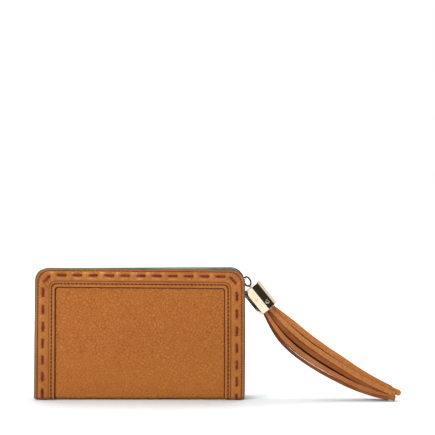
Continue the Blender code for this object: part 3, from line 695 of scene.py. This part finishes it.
def add_lace(prefix, side):
    """The visible runs of the lace: each comes up out of one slot and goes down the next."""
    shapes = []
    t = np.linspace(-1, 1, 17)
    profile = np.array([(-1, 0), (-0.92, 0.7), (-0.6, 1.0), (0, 1.08), (0.6, 1.0), (0.92, 0.7),
                        (1, 0), (0.9, -0.6), (0, -0.7), (-0.9, -0.6)])
    for k, s in enumerate(STITCHES):
        wobble = 0.12 * np.sin(2.4 * k)
        half = HALVES[k]
        narrow = 0.98 * np.sqrt(1.04 - np.abs(t) ** 3.2) + 0.07 * np.sin(1.9 * k + 2 * t)
        narrow = narrow * (0.8 if AT_CORNER[k] else 1.0)
        rise = 11.98 + 0.42 * (1 - np.abs(t) ** 5) - 0.8 * np.abs(t) ** 8
        ring_s = s + half * t[:, None] + 0 * profile[:, 0]
        ring_inset = LACE_INSET + wobble * t[:, None] + narrow[:, None] * profile[:, 0]
        ring_level = rise[:, None] + 0.3 * profile[:, 1]
        if AT_CORNER[k]:
            ring_inset = ring_inset + 0.66 * (1 - t[:, None] ** 2)
        shapes.append(loft(on_arch(side, ring_s, ring_inset, ring_level)))
    made = make_mesh(prefix + "_lacing", *gather(shapes), "lace_leather", slot="lace_leather")
    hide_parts(prefix + "_lace")
    return made


def add_cover(prefix, side):
    pieces = [add_band(prefix, side), add_welt(prefix, side), add_panel(prefix, side),
              add_stitches(prefix, side), add_lace(prefix, side)]
    if side < 0:
        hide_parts("spine_band_left", "spine_band_right")
        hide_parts("spine_welt_left", "spine_welt_right")
    for piece in pieces:
        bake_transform(piece)


# ------------------------------------------------------------------ zip

ZIP_FOOT = 7.0
TAPE = (81.0, 104.9, 9.0)
TEETH = (82.4, 106.5, 10.4)
TAPE_EDGE, TAPE_SEAM = 0.55, 7.75       # where the tape ends at the teeth, and in the cover
TAPE_THICK = 0.45
TOOTH_PITCH = 1.05


def zip_points(shape, spacing):
    """Evenly spaced points and outward normals round the zip's arch."""
    half, height, radius = shape
    straight = height - radius - ZIP_FOOT
    across = 2 * (half - radius)
    turn = pi / 2 * radius
    total = 2 * straight + across + 2 * turn
    s = np.linspace(0, total, int(total / spacing) + 1)
    t = np.minimum(s, total - s)
    angle = np.clip((t - straight) / turn, 0, 1) * pi / 2
    x = radius - half - radius * np.cos(angle) + np.clip(t - straight - turn, 0, None)
    z = ZIP_FOOT + np.minimum(t, straight) + radius * np.sin(angle)
    sign = np.where(s > total / 2, -1.0, 1.0)
    places = np.stack([x * sign, 0 * x, z], axis=-1)
    out = np.stack([-np.cos(angle) * sign, 0 * x, np.sin(angle)], axis=-1)
    crown = 0.45 * np.clip(places[:, 0] / 80, -0.3, 1) * smoothstep((z - 100) / 5)
    places[:, 2] += crown - back_drop(places[:, 0], z)
    return places, out


def row_shift(places):
    """Rows stand apart where the zip is open, below the slider on the right."""
    opened = smoothstep((101 - places[:, 2]) / 5) * (places[:, 0] > 0)
    return 1.6 * opened


def add_zip_row(prefix, side):
    body = prefix + "_cover"
    places, out = zip_points(TAPE, 2.0)
    shift = row_shift(places)
    edges = np.array([TAPE_EDGE, 1.2, 2.2, 3.2, 4.2, 5.2, 6.2, 7.0, TAPE_SEAM])
    fraction = (TAPE_SEAM - edges) / (TAPE_SEAM - TAPE_EDGE)
    distance = edges + shift[:, None] * fraction
    sag = 0.35 * np.sin(pi * (distance - 0.5) / 7.3)
    lift = -sag[..., None] * out[:, None]
    wide = np.zeros(distance.shape + (3,))
    wide[..., 1] = side * distance
    top = places[:, None] + wide + lift
    made = make_mesh(prefix + "_zip_weave", *sheet_grid(top, top - TAPE_THICK * out[:, None]),
                     "zip_tape_weave", body, slot="zip_tape")
    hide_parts(prefix + "_zip_tape")
    places, out = zip_points(TEETH, TOOTH_PITCH)
    shift = row_shift(places)
    shapes = []
    for k in range(len(places)):
        if k % 2 == (side > 0):
            continue
        before = places[max(k - 1, 0)]
        after = places[min(k + 1, len(places) - 1)]
        along = (after - before) / np.linalg.norm(after - before)
        shapes.append(tooth(places[k], along, out[k], side, shift[k]))
    teeth = make_mesh(prefix + "_zip_tooth_row", *gather(shapes), "zip_brass", body,
                      slot="zip_metal")
    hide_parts(prefix + "_zip_teeth")


def tooth(centre, along, out, side, shift):
    """One zip tooth: a shank on the tape with a wider rounded head over the middle."""
    across = np.array([0.0, float(side), 0.0])
    outline = ((2.3, 0.42), (1.2, 0.38), (0.55, 0.40), (0.1, 0.55), (-0.35, 0.42), (-0.5, 0.2))
    low = []
    for distance, half in outline:
        base = centre + across * (distance + shift)
        low += [base - along * half, base + along * half]
    outline = low[::2] + low[1::2][::-1]
    crown = centre + across * (0.9 + shift)
    return loft([[p - out * 1.25 for p in outline], [p - out * 0.15 for p in outline],
                 [crown + (p - crown) * 0.8 + out * 0.1 for p in outline]])


PLEAT_FOOT, PLEAT_HEIGHT = 6.0, 93.0
PLEAT_MOUTH, PLEAT_DEPTH = 78.3, 14.6


def add_gussets():
    """Pleated side gussets from the covers' linings to the coin pocket, one V on each side."""
    for name, side in SIDES:
        for hand, sign in (("left", -1), ("right", 1)):
            z = np.linspace(PLEAT_FOOT, PLEAT_FOOT + PLEAT_HEIGHT, 40)
            t = np.linspace(0, 2, 29)
            z, t = np.meshgrid(z, t, indexing="ij")
            depth = 1 - np.abs(1 - t)
            rounded = depth - 0.12 * bell(1 - t, 0.12)
            x = PLEAT_MOUTH - PLEAT_DEPTH * rounded + 0.35 * value_noise(z, t * 12, 14.0, 21)
            y = 1.8 + 5.6 * t / 2 + 0.15 * value_noise(z, t * 9, 9.0, 22)
            top = np.stack([sign * x, side * y, z], axis=-1)
            under = top.copy()
            under[..., 1] += side * np.where(t < 1, -0.35, 0.35)
            under[..., 0] -= sign * 0.3 * bell(1 - t, 0.25)
            made = make_mesh("%s_gusset_%s_pleat" % (name, hand), *sheet_grid(top, under),
                             "lining_leather", slot="lining_leather")
            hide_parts("%s_gusset_%s" % (name, hand), "inner_gusset_%s_%s" % (name, hand))
            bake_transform(made)


# ------------------------------------------------------------------ tassel and metal parts

JOINTS = {joint["name"]: joint for joint in frame["record"]["behaviour"]["joints"]}
BAIL = np.array(JOINTS["ring_swing"]["pos_m"]) / MM
LOOP = np.array(JOINTS["tassel_swing"]["pos_m"]) / MM
RING_ALONG = (LOOP - BAIL) / np.linalg.norm(LOOP - BAIL)
RING_ACROSS = np.array(JOINTS["tassel_swing"]["axis"])
TASSEL_ANGLE = radians(51.0)
ALONG = np.array([cos(TASSEL_ANGLE), 0.0, -sin(TASSEL_ANGLE)])
ACROSS = np.array([sin(TASSEL_ANGLE), 0.0, cos(TASSEL_ANGLE)])
FRONT = np.array([0.0, -1.0, 0.0])
RING_REACH = 2.65
CAP_LOOP_RISE = 2.6
CAP_TOP = LOOP + CAP_LOOP_RISE * ALONG
CAP_SIDE, CAP_LENGTH, CAP_WALL = 6.8, 23.0, 0.9
CAP_TURN = radians(2.5)
RING_LONG, RING_WIDE, RING_WIRE = 4.0, 2.6, 0.75     # half sizes of the oval, and wire radius
LOOP_WIRE = 0.55


def wire(path, radius, side, closed=False):
    """Round wire along a flat path; side is the direction square to the path's plane."""
    path = np.asarray(path, float)
    before = np.roll(path, 1, axis=0) if closed else np.vstack([path[:1], path[:-1]])
    after = np.roll(path, -1, axis=0) if closed else np.vstack([path[1:], path[-1:]])
    tangent = after - before
    tangent /= np.linalg.norm(tangent, axis=1, keepdims=True)
    side = np.asarray(side, float)
    normal = np.cross(tangent, side)
    angles = np.arange(12)[:, None] * pi / 6
    rings = path[:, None] + radius * (np.cos(angles) * side + np.sin(angles) * normal[:, None])
    return loft(rings, closed)


def bevel(made, width, segments):
    step = made.modifiers.new("soft_edges", "BEVEL")
    step.width = width * MM
    step.segments = segments
    step.limit_method = "ANGLE"
    step.angle_limit = radians(30)
    step.harden_normals = False


def octagon(centre, side_length):
    radius = side_length / (2 * sin(pi / 8))
    return [centre + radius * (sin(a) * ACROSS + cos(a) * FRONT)
            for a in (CAP_TURN + 2 * pi * k / 8 for k in range(8))]


def add_cap():
    inner = CAP_SIDE - 2 * CAP_WALL * (2 ** 0.5 - 1)
    bottom = CAP_TOP + CAP_LENGTH * ALONG
    rings = [octagon(CAP_TOP, CAP_SIDE), octagon(bottom, CAP_SIDE), octagon(bottom, inner),
             octagon(CAP_TOP + CAP_WALL * ALONG, inner)]
    cap = make_mesh("cap_shell", *loft(rings), "cap_gold", "tassel", smooth=False,
                    slot="cap_metal")
    bevel(cap, 0.28, 3)
    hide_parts("tassel_cap")
    half = 1.9
    foot = ALONG * (CAP_LOOP_RISE + 0.4)
    angles = np.linspace(0, pi, 13)
    path = [LOOP + foot - half * FRONT]
    path += [LOOP + ALONG * (1.2 - 1.2 * sin(a)) - FRONT * half * cos(a) for a in angles]
    path += [LOOP + foot + half * FRONT]
    make_mesh("cap_loop", *wire(path, LOOP_WIRE, ACROSS), "cap_gold", "tassel", slot="cap_metal")
    apothem = CAP_SIDE * (1 + 2 ** 0.5) / 2
    fasteners = (("cap_screw", 1, 17.0, True), ("cap_rivet", -1, 11.0, False))
    for name, facet, distance, slotted in fasteners:
        angle = CAP_TURN + facet * pi / 8
        out = sin(angle) * ACROSS + cos(angle) * FRONT
        seat = CAP_TOP + distance * ALONG + apothem * out
        add_fastener(name, seat, out, slotted)


def add_fastener(name, seat, out, slotted):
    """Domed head on a facet of the cap; the screw has a slot cut across it."""
    aside = np.cross(out, ALONG)
    if slotted:
        profile = ((-0.9, 0.7), (0.02, 0.7), (0.02, 1.72), (0.35, 1.78), (0.62, 1.62), (0.74, 1.3))
    else:
        profile = ((-0.9, 0.7), (0.02, 0.7), (0.02, 1.0), (0.22, 1.05), (0.42, 0.85), (0.5, 0.5))
    angles = np.arange(32) * 2 * pi / 32
    rings = [[seat + h * out + r * (cos(a) * ALONG + sin(a) * aside) for a in angles]
             for h, r in profile]
    head = make_mesh(name + "_head", *loft(rings), "cap_gold", "tassel", slot="cap_metal")
    if slotted:
        slit = ALONG + 0.55 * aside
        slit /= np.linalg.norm(slit)
        thin = np.cross(out, slit)
        corners = [seat + a * 2.2 * slit + b * 0.24 * thin + h * out
                   for h in (0.4, 1.2) for a, b in ((-1, -1), (1, -1), (1, 1), (-1, 1))]
        cutter = make_mesh(name + "_cut", *loft([corners[:4], corners[4:]]), "painted_edge")
        step = head.modifiers.new("slot", "BOOLEAN")
        step.operation = "DIFFERENCE"
        step.object = cutter
        step.solver = "EXACT"
        apply_modifiers(head)
        bpy.data.objects.remove(cutter)
        head.data.set_sharp_from_angle(angle=radians(35))
    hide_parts(name)


def apply_modifiers(made):
    bpy.context.view_layer.update()
    evaluated = made.evaluated_get(bpy.context.evaluated_depsgraph_get())
    fresh = bpy.data.meshes.new_from_object(evaluated)
    made.modifiers.clear()
    made.data = fresh


def add_ring():
    centre = BAIL + RING_REACH * RING_ALONG
    angles = np.linspace(0, 2 * pi, 49)[:-1]
    path = [centre + RING_LONG * cos(a) * RING_ALONG + RING_WIDE * sin(a) * RING_ACROSS
            for a in angles]
    ring = make_mesh("ring_link", *wire(path, RING_WIRE, FRONT, closed=True), "ring_gunmetal",
                     "pull_ring", slot="cap_metal")
    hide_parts("pull_ring")


STRAND_LINE = (
    (101.7, 0.0, 75.9), (104.9, -0.2, 71.9), (111.8, -1.0, 63.8), (120.6, -2.0, 54.4),
    (131.5, -3.2, 44.9), (145.0, -4.6, 35.4), (159.5, -6.4, 26.6), (174.5, -8.2, 18.0),
    (189.5, -10.0, 10.9), (204.0, -12.0, 5.3),
)
STRAND_SPREAD = (10.6, 10.8, 15.4, 19.4, 20.4, 20.0, 19.0, 16.8, 13.4, 9.6)
# Strips in front: place across the fan at the cap, middle and tip; depth at the same three;
# twist at the cap and the tip; half width; length past the others; smooth or grained side out
FRONT_STRIPS = (
    ((0.37, 0.385, 0.30), (1.4, 3.0, 3.2), (0.10, 0.30), 2.4, 5.2, "tassel_grained_leather"),
    ((0.14, 0.150, 0.11), (3.0, 4.6, 5.0), (-0.05, 0.05), 2.1, 0.6, "tassel_grained_leather"),
    ((-0.08, -0.070, -0.08), (1.8, 3.2, 3.0), (0.30, 0.20), 1.95, 1.6, "tassel_leather"),
    ((-0.31, -0.320, -0.38), (3.6, 5.0, 3.4), (-0.15, -0.10), 1.9, 2.6, "tassel_smooth_leather"),
    ((-0.48, -0.520, -0.42), (2.5, 4.4, 4.7), (1.1, 0.8), 1.6, -3.0, "tassel_leather"),
)


def catmull(points, steps=6):
    points = np.asarray(points, float)
    ends = np.vstack([2 * points[0] - points[1], points, 2 * points[-1] - points[-2]])
    t = (np.arange(steps) / steps)[:, None]
    curve = []
    for a, b, c, d in zip(ends, ends[1:], ends[2:], ends[3:]):
        curve.append(0.5 * (2 * b + (c - a) * t + (2 * a - 5 * b + 4 * c - d) * t ** 2
                            + (3 * b - a - 3 * c + d) * t ** 3))
    return np.vstack(curve + [points[-1:]])


def strand_frame():
    line = catmull(STRAND_LINE)
    spread = catmull(np.array(STRAND_SPREAD)[:, None])[:, 0]
    run_on = line[-1] + (line[-1] - line[-3]) / 2 * np.arange(1, 4)[:, None]
    line = np.vstack([line, run_on])
    spread = np.append(spread, [spread[-1]] * 3)
    tangent = np.gradient(line, axis=0)
    tangent /= np.linalg.norm(tangent, axis=1, keepdims=True)
    up = np.cross(tangent, FRONT)
    up /= np.linalg.norm(up, axis=1, keepdims=True)
    up *= np.sign(up[:, 2:3])
    return line, spread, tangent, up


def three_way(values, t):
    """Smooth course through a value at the cap, one in the middle and one at the tip."""
    start, middle, end = values
    bend = 4 * (middle - (start + end) / 2)
    return start + (end - start) * t + bend * t * (1 - t)


def add_strip(number, place_across, depths, twists, half_width, run, look):
    """One leather strip, cut square, or rounded where it is the longest."""
    line, spread, tangent, up = strand_frame()
    lengths = np.append(0, np.cumsum(np.linalg.norm(np.diff(line, axis=0), axis=1)))
    whole = lengths[-4]
    t = np.clip(lengths / whole, 0, 1.1)
    middle = line + up * (spread * three_way(place_across, t))[:, None]
    middle += FRONT * three_way(depths, t)[:, None]
    twist = twists[0] + (twists[1] - twists[0]) * t
    side_way = np.cos(twist)[:, None] * up - np.sin(twist)[:, None] * FRONT
    facing = np.cross(tangent, side_way)
    facing /= np.linalg.norm(facing, axis=1, keepdims=True)
    wide = half_width * (0.66 + 0.34 * smoothstep(t / 0.22))
    ends = whole + run
    stations = np.append(lengths[lengths < ends - 0.5], ends)
    if run > 3:
        stations = np.append(lengths[lengths < ends - 3], ends - np.array([2.6, 1.7, 0.9, 0.3, 0]))
        wide_end = np.sqrt(np.clip(1 - (np.clip(stations - ends + 2.2, 0, 2.2) / 2.25) ** 2, 0, 1))
    else:
        wide_end = np.ones(len(stations))
    columns = [np.stack([np.interp(stations, lengths, part[:, k]) for k in range(3)], axis=-1)
               for part in (middle, side_way, facing)]
    wide = np.interp(stations, lengths, wide) * wide_end
    rings = strand_rings(*columns, wide, 0.5)
    points, faces = loft(rings)
    lift = max(0.05 - points[:, 2].min(), 0)
    route = columns[0]
    for line_points in (points, route):
        line_points[:, 2] += lift * smoothstep((line_points[:, 0] - 150) / 45)
    # edge faces take the cut-edge colour, partly painted shade between strips
    made = make_mesh("tassel_strip_%02d" % number, points, faces,
                     [look, "tassel_edge_and_shade"], "tassel", slot="tassel_leather")
    size = len(rings[0])
    for index, polygon in enumerate(made.data.polygons):
        on_edge = index % size in (3, 4, 9, 10) or index >= (len(rings) - 1) * size
        polygon.material_index = 1 if on_edge else 0
    if number <= 8:
        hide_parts("tassel_strand_%d" % number)


def add_strands():
    """Loose leather strips: five that show in front, and twelve in layers behind them."""
    for number, entry in enumerate(FRONT_STRIPS, 1):
        add_strip(number, *entry)
    # the nearest layer behind is near-black painted shade, which shows in the gaps between front
    # strips
    layers = ((0.0, (-0.32, -0.12, 0.10, 0.31), "tassel_painted_shade"),
              (-2.3, (-0.30, -0.06, 0.18, 0.35), "tassel_leather"),
              (-4.3, (-0.38, -0.15, 0.08, 0.32), "tassel_leather"))
    for depth, offsets, look in layers:
        for offset in offsets:
            number += 1
            wave = rng.uniform(-1, 1, 6)
            across = (offset * 0.9, offset + 0.03 * wave[0], offset * 0.9 + 0.04 * wave[1])
            depths = (depth, depth * 1.15 + 0.25 * wave[2], depth + 0.3 * wave[3])
            add_strip(number, across, depths, (0.12 * wave[4], 0.3 * wave[5]), 2.0,
                      -2.0 + 1.5 * wave[0], look)


def strand_rings(middle, side_way, facing, half_width, half_thick):
    """Rings of a flat strip with nearly square edges: 12 points round."""
    shape = ((-0.6, 1.0), (0.0, 1.0), (0.6, 1.0), (0.96, 0.96), (1.0, 0.0), (0.96, -0.96),
             (0.6, -1.0), (0.0, -1.0), (-0.6, -1.0), (-0.96, -0.96), (-1.0, 0.0), (-0.96, 0.96))
    return [[m + a * w * s + b * half_thick * f for a, b in shape]
            for m, s, f, w in zip(middle, side_way, facing, half_width)]


def add_slider():
    """Main slider: two rounded plates, the post between them, and the wire bail."""
    low_corner, high_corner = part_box("zip_slider")
    middle = (low_corner[2] + high_corner[2]) / 2 / MM
    plate, post = rounded_outline(4.3, 4.4, 1.6), rounded_outline(0.75, 1.4, 0.5)
    slabs = ((plate, 78.9, 79.5, 0.0), (plate, 82.85, 83.45, 0.0), (post, 79.4, 82.9, 1.5))
    shapes = [loft([[(x, y, middle + z + lift) for y, z in outline] for x in (low, high)])
              for outline, low, high, lift in slabs]
    made = make_mesh("slider_plates", *gather(shapes), "cap_gold", "zip_slider", smooth=False,
                     slot="cap_metal")
    bevel(made, 0.15, 2)
    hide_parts("zip_slider")
    angles = np.linspace(0, pi, 13)
    path = [(83.3, -1.9, BAIL[2])]
    path += [(84.6 + 1.4 * sin(a), -1.9 * cos(a), BAIL[2]) for a in angles]
    path += [(83.3, 1.9, BAIL[2])]
    make_mesh("slider_bail", *wire(path, LOOP_WIRE, (0, 0, 1)), "cap_gold", "zip_slider",
              slot="cap_metal")


def rounded_outline(half_a, half_b, radius, steps=5):
    """Rounded rectangle as a list of (a, b)."""
    points = []
    for quarter, (sa, sb) in enumerate(((1, 1), (-1, 1), (-1, -1), (1, -1))):
        for k in range(steps + 1):
            angle = pi / 2 * (quarter + k / steps)
            points.append((sa * (half_a - radius) + radius * cos(angle),
                           sb * (half_b - radius) + radius * sin(angle)))
    return points


# ------------------------------------------------------------------ carried-over CAD pieces

def dress_cad_nodes():
    """Gives every CAD node that stays visible its detailed material."""
    looks = {"board": "fibre_board", "zip_tape": "zip_tape_weave", "zip_metal": "zip_brass",
             "cap_metal": "cap_gold"}
    slots = {part["node"]: part["material_slot"] for part in frame["record"]["subparts"]}
    for name, item in frame["nodes"].items():
        item.data.materials.clear()
        item.data.materials.append(MATERIALS[looks.get(slots[name], slots[name])])


# ------------------------------------------------------------------ stage, light and camera

WORLD_STRENGTH = 0.9
FLOOR_HALF = 30000.0
VIEW_DISTANCE = 730.0                   # from the camera to the front cover, millimetres
VIEW_WIDTH = 351.0                      # how much the camera takes in at that distance
SENSOR = 36.0


def add_stage():
    corners = [(a * FLOOR_HALF, b * FLOOR_HALF, 0) for a, b in ((-1, -1), (1, -1), (1, 1), (-1, 1))]
    make_mesh("floor", corners, [(0, 1, 2, 3)], "studio_floor", smooth=False)


def add_area(name, place_at, target, size, power, glossy=True):
    light = bpy.data.lights.new(name, "AREA")
    light.shape = "RECTANGLE"
    light.size, light.size_y = size
    light.energy = power
    made = add_object(name, light)
    made.location = place_at
    made.rotation_euler = (Vector(target) - Vector(place_at)).to_track_quat("-Z", "Y").to_euler()
    made.visible_glossy = glossy


def add_world():
    """White to the camera; in reflections bright above and behind, and dark in front."""
    world = bpy.data.worlds.new("studio")
    bpy.context.scene.world = world
    world.use_nodes = True
    world.node_tree.nodes.clear()
    n = Nodes(world)
    axes = n.add("ShaderNodeSeparateXYZ", {0: n.coordinates["Generated"]}).outputs
    behind, above = n.map_range(axes["Y"], -0.1, 0.35), n.map_range(axes["Z"], 0.72, 0.86)
    shade = n.ramp(n.maths("MAXIMUM", behind, above), [(0, (0.045, 0.043, 0.036)), (1, (1, 1, 1))])
    studio = n.add("ShaderNodeBackground", {"Color": shade, "Strength": WORLD_STRENGTH}).outputs[0]
    white = n.add("ShaderNodeBackground", {"Color": (1, 1, 1, 1)}).outputs[0]
    to_camera = n.add("ShaderNodeLightPath").outputs["Is Camera Ray"]
    seen = n.add("ShaderNodeMixShader", {0: to_camera, 1: studio, 2: white}).outputs[0]
    n.add("ShaderNodeOutputWorld", {"Surface": seen})


def add_camera():
    camera = bpy.data.cameras.new("camera")
    camera.sensor_width = SENSOR
    camera.lens = SENSOR * VIEW_DISTANCE / VIEW_WIDTH
    made = add_object("camera", camera)
    made.location = (0.0626, -0.742, 0.1475)
    made.rotation_euler = (pi / 2, 0, 0)
    bpy.context.scene.camera = made


def main():
    dress_cad_nodes()
    for prefix, side in SIDES:
        add_cover(prefix, side)
    for prefix, side in SIDES:
        add_zip_row(prefix, side)
    add_gussets()
    add_slider()
    add_ring()
    add_cap()
    add_strands()
    add_stage()
    add_world()
    add_area("key", (-0.65, -0.6, 0.8), (0.0, 0.0, 0.05), (0.4, 0.4), 8.2)
    add_area("fill", (0.1, -1.0, 0.12), (0.03, 0.0, 0.02), (0.8, 0.3), 2.7, glossy=False)
    add_area("top", (0.05, 0.24, 1.0), (0.05, 0.0, 0.0), (1.1, 0.6), 10.0)
    add_camera()
    bpy.context.scene.view_settings.view_transform = "Standard"


main()
